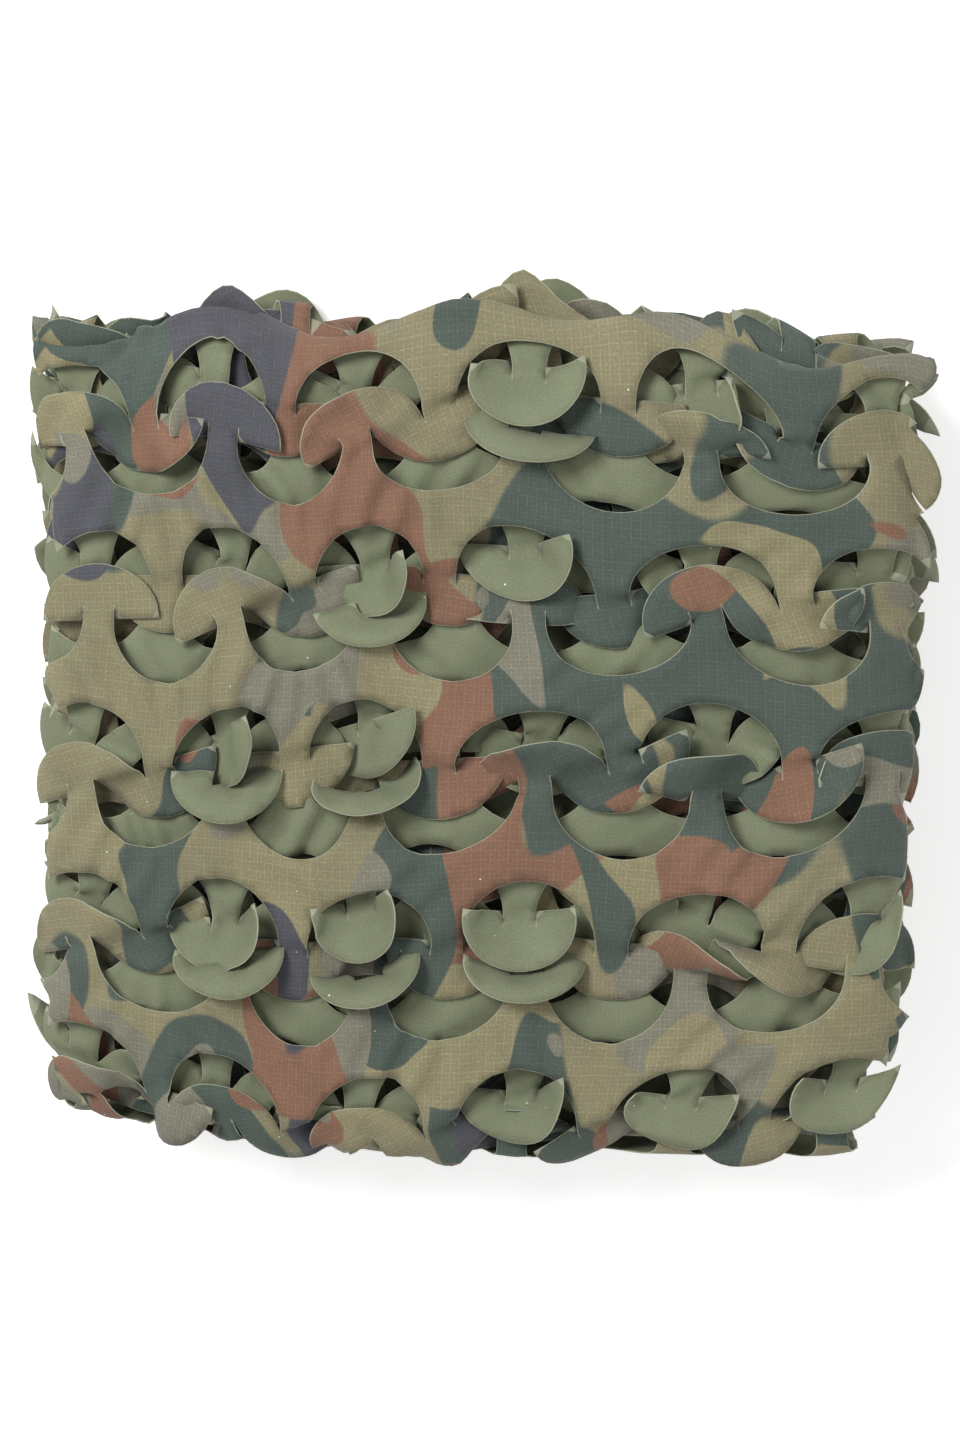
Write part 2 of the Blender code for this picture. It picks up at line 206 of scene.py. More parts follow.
class Spring:
    """Keeps pairs of points a rest length apart, in groups that share no point."""

    def __init__(self, pairs, flat, count):
        rest = np.linalg.norm(flat[pairs[:, 0]] - flat[pairs[:, 1]], axis=1)
        used = [0] * count
        groups = {}
        for number, (a, b) in enumerate(pairs.tolist()):
            free = ~(used[a] | used[b])
            bit = free & -free
            used[a] |= bit
            used[b] |= bit
            groups.setdefault(bit, []).append(number)
        self.groups = [(pairs[g, 0], pairs[g, 1], rest[g]) for g in map(np.array, groups.values())]

    def solve(self, at, stiffness):
        for a, b, rest in self.groups:
            step = at[b] - at[a]
            size = np.sqrt((step * step).sum(axis=1)) + TINY
            step *= (stiffness / 2 * (size - rest) / size)[:, None]
            at[a] += step
            at[b] -= step


def near_pairs(at, reach):
    """All pairs of points closer than reach, found through a grid of cells."""
    cell = np.floor(at / reach).astype(np.int64)
    cell -= cell.min(axis=0) - 1
    size = cell.max(axis=0) + 2
    key = (cell[:, 0] * size[1] + cell[:, 1]) * size[2] + cell[:, 2]
    order = np.argsort(key, kind="stable")
    key = key[order]
    here = np.arange(len(key))
    found = []
    for dx in (0, 1):
        for dy in (-1, 0, 1) if dx else (0, 1):
            for dz in (-1, 0, 1) if dx or dy else (0, 1):
                shift = (dx * size[1] + dy) * size[2] + dz
                low = np.searchsorted(key, key + shift, "left") if shift else here + 1
                count = np.maximum(np.searchsorted(key, key + shift, "right") - low, 0)
                first = np.repeat(here, count)
                place = np.arange(count.sum()) - np.repeat(np.cumsum(count) - count, count)
                second = place + np.repeat(low, count)
                a, b = order[first], order[second]
                close = ((at[a] - at[b]) ** 2).sum(axis=1) < reach * reach
                found.append(np.stack([a, b], axis=1)[close])
    return np.concatenate(found)


def smooth(t):
    t = np.clip(t, 0, 1)
    return t * t * (3 - 2 * t)


GATHER = 0.20
DRAWN_GATHER = 0.155  # how much the cloth narrows as it is drawn open, before it is pushed together
GATHER_RANGE = 0.060


def gathered(x, share=GATHER):
    """The cloth is pushed together towards its left side."""
    return x * (1 - share * (1 - np.exp(np.minimum(x, 0) / GATHER_RANGE)))


ROW_PITCH = 0.054
PULL = 0.0125  # by which each row of slits is drawn open
OPEN_PITCH = ROW_PITCH + PULL
FIRST_LEAF = -0.13875
FREED_IN_A_ROW = 3
FOLD_LENGTH = 0.020  # of cloth in the fold at the far side
FOLD_BULGE = 0.0085
LIP = 0.010  # of cloth in half a fold at the near side
LIP_RISE = 0.004
LIP_REACH = 0.85
MOST_CURL = 1.2
FLAPS_IN_A_ROW = 100  # more than there are, so that every flap has its own number
FIRST_PLATE = 10000

# How each band strays from its even place: the heights of its waves, and their lengths over one radian.
WAVE = 0.0028
SHORT_WAVE = 0.021
LONG_WAVE = 0.055
LONG_SHARE = 0.7
ACROSS_WAVE = 0.060
ACROSS_SHARE = 0.8
SAG = 0.0014
SAG_WAVE = 0.017
PHASE_BY_HEIGHT = 130

# How the cloth resists. It is coated and stiff, so a leaf bends in wide curves and keeps a sharp crease.
STAY_LENGTH = 0.014
STAY_TURNS = (0, 60, 120)
STAY_STIFFNESS = 0.08
BEND_STIFFNESS = 0.30
CREASE = 1.6  # a leaf folded up further than this, in radians, keeps its crease
SOLVER_PASSES = 2
GAP_SHARE = 0.74  # of the mesh's spacing, kept between parts of the cloth that touch
SEARCH_REACH = 1.35
NEIGHBOUR_REACH = 2.1
STEPS_BETWEEN_SEARCHES = 4

# How it is settled. Times are shares of all the steps, and pulls are shares of the way left at each step.
ROUGHNESS = 0.0001
FIRST_LIFT = 0.02
KEPT_SPEED = 0.86
DRAWN_BY = 0.40
FOLDING_FROM = 0.12
FOLDING_TIME = 0.36
LAYERS_MEET_FROM = 0.48
LID_FALLS_FROM = 0.50
LID_FALLS_FOR = 0.24
OPEN_LID = 0.030
HOLLOW_DEPTH = 0.45  # the lid is wavy, and differently so at each height
HOLLOW_WIDTH = 0.031
HOLLOW_LENGTH = 0.027
HOLLOW_TURN = 70
HOLLOW_START = 0.6
FREE_FROM = 0.94
GUIDED_UNTIL = 0.72  # of the steps before FREE_FROM
BAND_PULL = 0.06
BAND_LEVELLING = 0.02
LEAD_PULL = 0.03
LEAD_STEP = 0.0003
POSE_PULL = 0.16
POSE_STEP = 0.0011
FALL = 0.000012


class Sheet:
    """One fold of the net: its flat drawing, and which band, leaf or cap each point belongs to.

    levels are the heights of its two layers, turns how far they run to the near and to the far side, and
    tails how much cloth goes on past the near turn. first_row is how far past the far fold the first printed
    row lies, and slide moves every slit sideways. A fold that runs_on has level near ends, to be rolled over.
    """

    def __init__(self, name, levels, spacing, first_row, seed, turns, tails=(LIP, LIP), runs_on=False,
                 freed=None, slide=0.0):
        self.name, self.spacing, self.runs_on, self.first_leaf = name, spacing, runs_on, FIRST_LEAF + slide
        self.low_z, self.up_z = levels
        self.near, self.far = near, far = turns
        self.rng = np.random.default_rng(seed)
        self.low_tail = tails[0]
        self.run = tails[0] + near + far
        open_length = self.run + FOLD_LENGTH + far + near + tails[1]
        fold_middle = self.run + FOLD_LENGTH / 2
        first = fold_middle + first_row
        first -= OPEN_PITCH * math.floor(first / OPEN_PITCH)
        rows_open = np.arange(first, open_length, OPEN_PITCH)
        count = len(rows_open)
        self.rows = rows_open - (np.arange(count) + 0.5) * PULL
        self.length = open_length - count * PULL
        self.first_print = int(np.searchsorted(rows_open, fold_middle))
        if freed is None:
            picks = [self.rng.choice(COLUMNS, FREED_IN_A_ROW, replace=False) for _ in range(count)]
            freed = {(row, column) for row, columns in enumerate(picks) for column in columns}
        else:
            freed = {(self.first_print + row, column) for row, column in freed}
        self.bm = cut_sheet(self.rows, self.first_leaf, self.length, spacing, self.rng, freed)
        self.flat = np.array([v.co[:2] for v in self.bm.verts])
        self.faces = np.array([[v.index for v in f.verts] for f in self.bm.faces])
        self.cloth = self.flat.copy()
        self.cloth[:, 0] = gathered(self.flat[:, 0], DRAWN_GATHER)
        self.lifts, self.folds, self.swings, self.leans = np.zeros((4, len(self.flat)))
        self.posed = np.zeros(len(self.flat), bool)
        self.label()

    def lead(self, kind, row, column, height, tilt=0.0):
        """Leads one leaf or cap up or down by height at its rim, and by tilt at its right end."""
        flap = kind & (self.row == row) & (self.column == column)
        self.lifts[flap] = height * self.reach[flap] + tilt * self.off_stalk[flap] / LEAF_RADIUS

    def pose(self, kind, row, column, fold, swing=0.0, lean=0.0):
        """Folds one leaf or cap up on its stalk, swings it in its own plane and leans it to one side."""
        beyond = np.abs(self.flat[:, 1] - self.rows[self.row]) > RELIEF
        off_neck = beyond | (np.abs(self.off_stalk) > STALK / 2)
        flap = kind & (self.row == row) & (self.column == column) & off_neck
        self.folds[flap], self.swings[flap], self.leans[flap] = fold, swing, lean
        self.posed |= flap

    def stiffen(self, row, column):
        """Keeps a cap and the leaf it is joined to in one plane, so that they turn as one plate."""
        cap = self.is_cap & (self.column == column)
        leaf = self.is_leaf & (self.column == column + 1)
        self.flap_number[(self.row == row) & (cap | leaf)] = FIRST_PLATE + row * FLAPS_IN_A_ROW + column

    def label(self):
        """Finds what each point belongs to, by a probe in a face on it, as points on a slit lie on both."""
        count = len(self.flat)
        centres = self.flat[self.faces].mean(axis=1)
        corner = self.faces.ravel()
        centre = np.repeat(centres, 3, axis=0)
        order = np.argsort(-((self.flat[corner] - centre) ** 2).sum(axis=1), kind="stable")
        probe = np.zeros((count, 2))
        probe[corner[order]] = centre[order]
        self.probe = probe
        row = np.abs(probe[:, 1:] - self.rows[None]).argmin(axis=1)
        past = probe[:, 1] - self.rows[row]
        leaf = np.round((probe[:, 0] - self.first_leaf) / LEAF_PITCH).astype(int)
        cap = np.floor((probe[:, 0] - self.first_leaf) / LEAF_PITCH).astype(int)
        leaf_x = self.first_leaf + leaf * LEAF_PITCH
        cap_x = self.first_leaf + (cap + 0.5) * LEAF_PITCH
        rise = past * LEAF_RADIUS / LEAF_RISE
        self.is_leaf = (past > 0) & (np.hypot(probe[:, 0] - leaf_x, rise) < LEAF_RADIUS)
        self.is_cap = (past < 0) & (np.hypot(probe[:, 0] - cap_x, rise) < LEAF_RADIUS)
        self.is_flap = self.is_leaf | self.is_cap
        self.row, self.column = row, np.where(self.is_leaf, leaf, cap)
        flap_place = row * FLAPS_IN_A_ROW + self.column - COLUMNS[0] + 1
        self.flap_number = np.where(self.is_flap, flap_place * 2 + self.is_leaf, -1)
        centre_x = np.where(self.is_leaf, leaf_x, cap_x)
        self.reach = np.hypot(self.flat[:, 0] - centre_x, self.flat[:, 1] - self.rows[row]) / LEAF_RADIUS
        self.centre_x = centre_x
        self.off_stalk = self.flat[:, 0] - centre_x
        self.pivot = self.rows[row] + np.where(self.is_leaf, RELIEF, -RELIEF)
        self.on_print = row >= self.first_print
        self.shift = row + (past > 0)
        self.own_shift = np.where(self.is_leaf, row, np.where(self.is_cap, row + 1, self.shift))
        opened = self.flat[:, 1] + (row + 0.5) * PULL
        self.layer = np.where(opened < self.run, 0, np.where(opened < self.run + FOLD_LENGTH, -1, 1))

    def place(self, x, s):
        """Slab positions of points at flat x and drawn s."""
        t = np.clip((s - self.run) / FOLD_LENGTH, 0, 1)
        y = np.where(s < self.run, s - self.low_tail - self.near, self.far - (s - self.run - FOLD_LENGTH))
        y = np.where((t > 0) & (t < 1), self.far + FOLD_BULGE * np.sin(np.pi * t), y)
        z = self.low_z + (self.up_z - self.low_z) * (1 - np.cos(np.pi * t)) / 2
        lip = np.where(self.runs_on, 0, -self.near - y)
        curl = np.clip(lip / LIP, 0, MOST_CURL)
        y = np.where(curl > 0, -self.near - LIP_REACH * LIP * np.sin(curl * np.pi / 2), y)
        z = z + np.where(s < self.run, -1, 1) * LIP_RISE * (1 - np.cos(curl * np.pi / 2))
        return np.stack([x, y, z], axis=1)

    def waves(self):
        """How far each band strays from its even place, as every band sags and shifts in its own way."""
        x, s = self.flat.T
        phases = self.rng.uniform(0, 2 * math.pi, (len(self.rows) + 1, 3))[self.shift]
        short, long = np.sin(x / SHORT_WAVE + phases[:, 0]), np.sin(x / LONG_WAVE + phases[:, 1])
        along = WAVE * short + LONG_SHARE * WAVE * long
        across = ACROSS_SHARE * WAVE * np.sin(x / ACROSS_WAVE + phases[:, 2])
        unlike = PHASE_BY_HEIGHT * self.low_z
        sags = SAG * np.sin(x / SAG_WAVE + unlike) * np.sin(s / SHORT_WAVE)
        return np.stack([across, along, sags], axis=1)

    def springs(self):
        """Springs along the edges, over them, and between points of one flap that lie further apart."""
        edges = np.array([[v.index for v in e.verts] for e in self.bm.edges])
        bends = []
        for edge in self.bm.edges:
            if len(edge.link_faces) == 2:
                bends.append([next(v.index for v in f.verts if v not in edge.verts) for f in edge.link_faces])
        count = len(self.flat)
        bends = np.array(bends)
        creased = np.where(self.folds > CREASE, self.folds, 0)
        bends = bends[creased[bends[:, 0]] == creased[bends[:, 1]]]
        flaps = np.flatnonzero(self.is_flap)
        tree = KDTree(len(flaps))
        for number in flaps:
            tree.insert((*self.probe[number], 0), number)
        tree.balance()
        stays = set()
        for number in flaps:
            x, s = self.probe[number]
            for turn in STAY_TURNS:
                angle = math.radians(turn)
                end = (x + STAY_LENGTH * math.cos(angle), s + STAY_LENGTH * math.sin(angle), 0)
                _, other, off = tree.find(end)
                same = self.flap_number[other] == self.flap_number[number]
                if same and off < self.spacing and number != other:
                    stays.add((min(number, other), max(number, other)))
        return [Spring(pairs, self.cloth, count) for pairs in (edges, bends, np.array(sorted(stays)))]

    def settle(self, steps, lid, slack):
        """Draws the rows open, lets the cut leaves buckle and lie over each other, and returns the points."""
        flat, lifts, posed = self.flat, self.lifts, self.posed
        stretch, bends, stays = self.springs()
        gap = GAP_SHARE * self.spacing
        middle = np.searchsorted(self.rows, self.length / 2)
        band = ~self.is_flap
        led = self.is_flap & (lifts != 0) & ~posed
        waves = self.waves()
        at = self.place(self.cloth[:, 0], flat[:, 1] + middle * PULL)
        at[:, 2] += self.rng.normal(0, ROUGHNESS, len(flat)) + FIRST_LIFT * lifts
        before = at.copy()
        drawn_by, free = round(steps * DRAWN_BY), round(steps * FREE_FROM)
        pairs = None
        onward = np.where(self.on_print, -1, 1)[posed]
        upward = np.where(self.is_cap, -1, 1)[posed]
        root_x = self.centre_x[posed]
        arm_x = self.cloth[posed, 0] - gathered(root_x, DRAWN_GATHER)
        arm_s = flat[posed, 1] - self.pivot[posed]
        carried = self.place(self.cloth[:, 0], flat[:, 1] + middle * PULL)
        for step in range(steps):
            done = step / steps
            t = smooth(min(1.0, step / drawn_by))
            across = self.cloth[:, 0] * (1 - t) + gathered(flat[:, 0]) * t
            carries = self.place(across, flat[:, 1] + PULL * (t * self.own_shift + (1 - t) * middle))
            speed = (at - before) * KEPT_SPEED
            at += carries - carried
            before = at.copy()
            at += speed
            carried = carries
            goal = self.place(across, flat[:, 1] + PULL * (t * self.shift + (1 - t) * middle))
            goal += waves * t
            at[band, :2] += (goal[band, :2] - at[band, :2]) * BAND_PULL
            at[band, 2] += (goal[band, 2] - at[band, 2]) * BAND_LEVELLING
            if step < free * GUIDED_UNTIL:
                rise = (goal[led, 2] + lifts[led] - at[led, 2]) * LEAD_PULL
                at[led, 2] += np.clip(rise, -LEAD_STEP, LEAD_STEP)
                root = gathered(root_x, DRAWN_GATHER) * (1 - t) + gathered(root_x) * t
                pivot = (self.pivot + PULL * (t * self.own_shift + (1 - t) * middle))[posed]
                aim = self.place(root, pivot)
                folding = smooth((done - FOLDING_FROM) / FOLDING_TIME)
                fold, swing, lean = (folding * a[posed] for a in (self.folds, self.swings, self.leans))
                across_arm = arm_x * np.cos(swing) - arm_s * np.sin(swing)
                along_arm = arm_x * np.sin(swing) + arm_s * np.cos(swing)
                aim[:, 0] += across_arm * np.cos(lean)
                aim[:, 1] += onward * along_arm * np.cos(fold)
                aim[:, 2] += upward * along_arm * np.sin(fold) + across_arm * np.sin(lean)
                at[posed] += np.clip((aim - at[posed]) * POSE_PULL, -POSE_STEP, POSE_STEP)
            else:
                at[:, 2] -= FALL
            for _ in range(SOLVER_PASSES):
                stays.solve(at, STAY_STIFFNESS)
                bends.solve(at, BEND_STIFFNESS)
                stretch.solve(at, 1.0)
            if step % STEPS_BETWEEN_SEARCHES == 0:
                pairs = near_pairs(at, gap * SEARCH_REACH)
                rest = ((flat[pairs[:, 0]] - flat[pairs[:, 1]]) ** 2).sum(axis=1)
                pairs = pairs[rest > (NEIGHBOUR_REACH * gap) ** 2]
                if done < LAYERS_MEET_FROM:
                    pairs = pairs[self.layer[pairs[:, 0]] == self.layer[pairs[:, 1]]]
            self.part(at, pairs, gap)
            lifted = 1 - smooth((done - LID_FALLS_FROM) / LID_FALLS_FOR)
            room = lid + (OPEN_LID - lid) * lifted if step < free else 2 * lid
            hollow_x = HOLLOW_DEPTH * np.sin(at[:, 0] / HOLLOW_WIDTH + self.low_z * HOLLOW_TURN)
            room = room * (1 + hollow_x * np.sin(at[:, 1] / HOLLOW_LENGTH + HOLLOW_START))
            at[:, 2] = np.clip(at[:, 2], self.low_z - slack, self.up_z + room)
        return at

    @staticmethod
    def part(at, pairs, gap):
        """Pushes apart the points of different folds that touch."""
        apart = at[pairs[:, 0]] - at[pairs[:, 1]]
        size = np.sqrt((apart * apart).sum(axis=1)) + TINY
        hit = size < gap
        a, b = pairs[hit, 0], pairs[hit, 1]
        push = apart[hit] * ((gap - size[hit]) / 2 / size[hit])[:, None]
        count = len(at)
        share = np.maximum(np.bincount(a, minlength=count) + np.bincount(b, minlength=count), 1)
        for axis in range(3):
            shift = np.bincount(a, push[:, axis], count) - np.bincount(b, push[:, axis], count)
            at[:, axis] += shift / share


# The bundle's own shape: layers that lie flat in the middle and bend towards mid height at the edges, with a
# bunched-up far side and a top that rolls over the near side. Each sheet is settled flat, then laid on it.

TOP_HEIGHT = 0.083
LEFT_REACH = 0.158
RIGHT_REACH = 0.154
DEPTH_REACH = 0.152
EDGE_START = 0.72
CROWN_POWER = 5
STEEPEST_BEND = 0.98
TOP_DROP = 0.50
FLOOR_RISE = 0.20
LUMP_HEIGHT = 0.0024
LEVEL_PART = 0.15  # below this share of the height the layers have no lumps
ROLL_START = 0.130  # how far towards the near side the top layers run before they roll over it
ROLL_RADIUS = 0.022
FAR_SHARES = (0.912, 0.938, 0.830)  # how far out the far side lies at the left, middle and right
NEAR_SHARES = (0.865, 1.01, 1.01)
SHARE_RANGE = 0.153
SHARE_LIMIT = 1.1
SIDE_SHARES = (0.99, 0.97)
SIDE_STAGGER = 0.003  # by which the layers lie out of line at the sides
FAR_STAGGER = 0.0028
SIDE_RANGE = 0.15
FAR_RANGE = 0.145
BULGE = 0.006  # the far side stands out this much more near its middle
BULGE_X = 0.012
BULGE_WIDTH = 0.035
TIP_START = 0.150  # from here out the tips of the side leaves are pushed in
TIP_PUSH = 0.30
CORNER_START = 0.095  # from here on towards the near side the right side is drawn in
CORNER_RANGE = 0.05
CORNER_PUSH = 0.10


def side_share(shares, x):
    """The share at x, which goes smoothly from the middle one to the left or right one."""
    left, middle, right = shares
    edge = np.where(x < 0, left, right)
    return middle + (edge - middle) * np.minimum(np.abs(x) / SHARE_RANGE, SHARE_LIMIT) ** 2


def edge_bend(x, y, near_too):
    """How far the layers have turned towards mid height: 0 over the flat middle and almost 1 at the edges."""
    out_x = np.abs(x) / np.where(x < 0, LEFT_REACH, RIGHT_REACH)
    out_y = np.where((y > 0) | near_too, np.abs(y) / DEPTH_REACH, 0)
    out = (out_x**CROWN_POWER + out_y**CROWN_POWER) ** (1 / CROWN_POWER)
    t = np.clip((out - EDGE_START) / (1 - EDGE_START), 0, STEEPEST_BEND)
    return 1 - np.sqrt(1 - t * t)


def ripple(place, height, length, phase=0.0):
    """A smooth wave along place, with its length given over one radian."""
    return height * np.sin(place / length + phase)


def lumps(x, y):
    """How far the layers lie above or below their even height."""
    main = ripple(x, height=1, length=0.031, phase=0.6) * ripple(y, height=1, length=0.037, phase=1.1)
    return LUMP_HEIGHT * (main + ripple(x, height=0.6, length=0.019, phase=-y / 0.043))


def on_bundle(at, over):
    """Bends slab positions to the bundle. over is true for the points of the layers that roll over it."""
    x, y, z = at.T
    stagger = ripple(z, SIDE_STAGGER, length=0.011) * (np.abs(x) / SIDE_RANGE) ** 3 * np.sign(x)
    x = x * np.where(x < 0, *SIDE_SHARES) + stagger
    y = y + np.where(y > 0, y / FAR_RANGE, 0) ** 6 * FAR_STAGGER * np.sin(x / 0.0135 + z / 0.009)
    long_drift = ripple(y, height=0.0022, length=0.043, phase=0.8)
    short_drift = ripple(y, height=0.0012, length=0.019, phase=x / 0.07)
    along_drift = ripple(x, height=0.0024, length=0.047, phase=2.0) * np.cos(y / 0.06)
    x, y = x + long_drift + short_drift, y + along_drift
    y = y * np.where(y > 0, side_share(FAR_SHARES, x), side_share(NEAR_SHARES, x))
    y = y + np.where(y > 0, y / FAR_RANGE, 0) ** 4 * BULGE * np.exp(-(((x - BULGE_X) / BULGE_WIDTH) ** 2))
    x = x - np.sign(x) * TIP_PUSH * np.maximum(np.abs(x) - TIP_START, 0)
    x = x - np.maximum(x, 0) * CORNER_PUSH * smooth((-y - CORNER_START) / CORNER_RANGE)
    start = ROLL_START * side_share(NEAR_SHARES, x)
    past = np.where(over, np.maximum(-y - start, 0), 0)
    angle = np.minimum(past / ROLL_RADIUS, math.pi / 2)
    proud = np.where(past > 0, z - TOP_HEIGHT, 0)
    fallen = ROLL_RADIUS * (1 - np.cos(angle)) + past - angle * ROLL_RADIUS
    y = np.where(past > 0, -start - (ROLL_RADIUS + proud) * np.sin(angle), y)
    level = np.where(past > 0, TOP_HEIGHT, z)
    middle = TOP_HEIGHT / 2
    bend = edge_bend(x, y, ~over)
    rest = level + (middle - level) * np.where(level > middle, TOP_DROP, FLOOR_RISE) * bend
    rest = rest + lumps(x, y) * np.maximum(0, level / TOP_HEIGHT - LEVEL_PART)
    return np.stack([x, y, rest + np.where(past > 0, proud * np.cos(angle) - fallen, 0)], axis=1)


# ---------------------------------------------------------------------------------------------------------
# The cloth: thin ripstop, printed in a woodland pattern on its face and plain sage green on its reverse.
# The die leaves pale, slightly fuzzy cut edges. The ripstop's thicker threads stand a little proud of it.

CLOTH_THICKNESS = 0.00045
CUT_REACH = 0.004  # how far from a cut the cloth still knows of it
RIPSTOP_PITCH = 0.0033
THREAD_PITCH = 0.0005
# Between which parts of the pitch a line's edge lies, counted from halfway between two thick lines.
THICK_LINE = (0.42, 0.47)
THIN_LINE = (0.03, 0.07)
THIN_LINE_TONE = 0.45
LINE_RELIEF = 0.8
THREAD_RELIEF = 0.25
CRUMPLE_RELIEF = 7.0
WOBBLE = 0.0003
PATCH_EDGE = (-0.003, 0.005)
LINT_SIZE = 0.035  # of the specks, as a share of the cells they lie in
LINT_FREE = 0.72  # the share of the cells in which no lint lies


def dye(red, green, blue):
    """A matched display colour as a linear one."""
    shares = [value / 255 for value in (red, green, blue)]
    return (*(v / 12.92 if v <= 0.04045 else ((v + 0.055) / 1.055) ** 2.4 for v in shares), 1)


def group(name, inputs, outputs):
    """A node group with sockets given as {name: kind}. Returns the tree, its inputs and its outputs."""
    tree = bpy.data.node_groups.new(name, "ShaderNodeTree")
    for socket, kind in inputs.items():
        tree.interface.new_socket(socket, in_out="INPUT", socket_type=kind)
    for socket, kind in outputs.items():
        tree.interface.new_socket(socket, in_out="OUTPUT", socket_type=kind)
    return tree, tree.nodes.new("NodeGroupInput").outputs, tree.nodes.new("NodeGroupOutput").inputs


def put(tree, kind, settings=None, **inputs):
    """Adds a node. Inputs are numbers, colours or other nodes' outputs, by socket name or place (i0, i1…)."""
    node = tree.nodes.new("ShaderNode" + kind)
    for name, value in (settings or {}).items():
        setattr(node, name, value)
    for name, value in inputs.items():
        socket = node.inputs[int(name[1:]) if name[1:].isdigit() else name]
        if isinstance(value, bpy.types.NodeSocket):
            tree.links.new(value, socket)
        else:
            socket.default_value = value
    return node


def math_node(tree, operation, *values):
    inputs = {f"i{number}": value for number, value in enumerate(values)}
    return put(tree, "Math", {"operation": operation}, **inputs).outputs[0]


def step_up(tree, value, low, high):
    """0 below low and 1 above high, with a smooth step between."""
    settings = {"interpolation_type": "SMOOTHSTEP"}
    return put(tree, "MapRange", settings, Value=value, i1=low, i2=high).outputs[0]


def mixed(tree, share, first, second, blend="MIX"):
    settings = {"data_type": "RGBA", "blend_type": blend}
    return put(tree, "Mix", settings, i0=share, i6=first, i7=second).outputs[2]


def noise(tree, vector, scale, detail=2.0, roughness=0.5, distortion=0.0):
    return put(tree, "TexNoise", Vector=vector, Scale=scale, Detail=detail, Roughness=roughness,
               Distortion=distortion).outputs[0]


def moved(tree, vector, shift, stretch, turn):
    turned = (0, 0, turn)
    return put(tree, "Mapping", Vector=vector, Location=shift, Scale=stretch, Rotation=turned).outputs[0]


KHAKI = dye(129, 123, 95)
FADED_KHAKI = dye(118, 114, 90)
BLUE_GREEN = dye(72, 82, 75)
BROWN = dye(121, 91, 74)
SLATE = dye(75, 76, 81)
WARM_GREY = dye(115, 113, 99)
SAGE = dye(116, 122, 97)
CUT_EDGE = dye(162, 163, 142)
LINT = dye(225, 228, 215)

# Each colour's patches, large ones before small ones: where its noise is read, its stretch and its turn, the
# noise's scale, and the level above which the cloth takes this colour.
PATCHES = [
    (WARM_GREY, (3.1077, 1.686, 0), (1.0, 0.8, 1), 0.5, 13.0, 0.600),
    (BLUE_GREEN, (17.216, 1.247, 0), (1.0, 0.7, 1), -0.3, 10.0, 0.545),
    (BROWN, (25.858, 18.912, 0), (1.0, 1.0, 1), 0.4, 11.0, 0.600),
    (SLATE, (40.582, 9.738, 0), (1.5, 0.6, 1), 0.2, 11.0, 0.664),
    (KHAKI, (51.3, 4.1, 0), (1.0, 0.8, 1), 0.7, 22.0, 0.625),
    (BLUE_GREEN, (61.7, 8.2, 0), (1.0, 0.7, 1), -0.5, 20.0, 0.630),
    (BROWN, (83.9, 5.6, 0), (1.0, 0.8, 1), 0.6, 20.0, 0.665),
    (WARM_GREY, (72.4, 3.3, 0), (1.2, 0.8, 1), 0.3, 19.0, 0.635),
]


def woodland_print():
    """Soft-edged patches of one colour over another, on a khaki ground that is faded in places."""
    tree, given, out = group("WoodlandPrint", {"Cloth": "NodeSocketVector"}, {"Color": "NodeSocketColor"})
    cloth = given["Cloth"]
    colour = mixed(tree, noise(tree, cloth, scale=30.0), KHAKI, FADED_KHAKI)
    for shade, shift, stretch, turn, scale, level in PATCHES:
        place = moved(tree, cloth, shift, stretch, turn)
        field = noise(tree, place, scale, detail=0.6, roughness=0.42, distortion=0.35)
        mask = step_up(tree, field, level + PATCH_EDGE[0], level + PATCH_EDGE[1])
        colour = mixed(tree, mask, colour, shade)
    tree.links.new(colour, out["Color"])
    return tree


def ripstop():
    """The weave: fine threads, with a light thick one at every ripstop pitch and a fainter one between."""
    tree, given, out = group("Ripstop", {"Cloth": "NodeSocketVector"},
                             {"Lines": "NodeSocketFloat", "Height": "NodeSocketFloat"})
    wobble = put(tree, "TexNoise", Vector=given["Cloth"], Scale=260.0, Detail=1.0)
    shifted = put(tree, "VectorMath", {"operation": "MULTIPLY_ADD"}, i0=wobble.outputs["Color"],
                  i1=(WOBBLE, WOBBLE, 0), i2=given["Cloth"]).outputs[0]
    axes = put(tree, "SeparateXYZ", Vector=shifted)
    lines, threads = [], []
    for axis in "XY":
        place = axes.outputs[axis]
        turn = math_node(tree, "FRACT", math_node(tree, "DIVIDE", place, RIPSTOP_PITCH))
        off = math_node(tree, "ABSOLUTE", math_node(tree, "SUBTRACT", turn, 0.5))
        thin = math_node(tree, "SUBTRACT", 1.0, step_up(tree, off, *THIN_LINE))
        thick = step_up(tree, off, *THICK_LINE)
        lines.append(math_node(tree, "MAXIMUM", thick, math_node(tree, "MULTIPLY", thin, THIN_LINE_TONE)))
        round_turns = math_node(tree, "MULTIPLY", place, 2 * math.pi / THREAD_PITCH)
        threads.append(math_node(tree, "SINE", round_turns))
    breaks = noise(tree, given["Cloth"], scale=900.0, detail=1.0)
    crumple = noise(tree, given["Cloth"], scale=85.0)
    whole_line = math_node(tree, "MAXIMUM", *lines)
    line = math_node(tree, "MULTIPLY", whole_line, step_up(tree, breaks, low=0.3, high=0.6))
    weave = math_node(tree, "MULTIPLY", *threads)
    threads_height = math_node(tree, "MULTIPLY", weave, THREAD_RELIEF)
    height = math_node(tree, "MULTIPLY_ADD", line, LINE_RELIEF, threads_height)
    height = math_node(tree, "MULTIPLY_ADD", crumple, CRUMPLE_RELIEF, height)
    tree.links.new(line, out["Lines"])
    tree.links.new(height, out["Height"])
    return tree


def grey(tree, value):
    return put(tree, "CombineXYZ", i0=value, i1=value, i2=value).outputs[0]


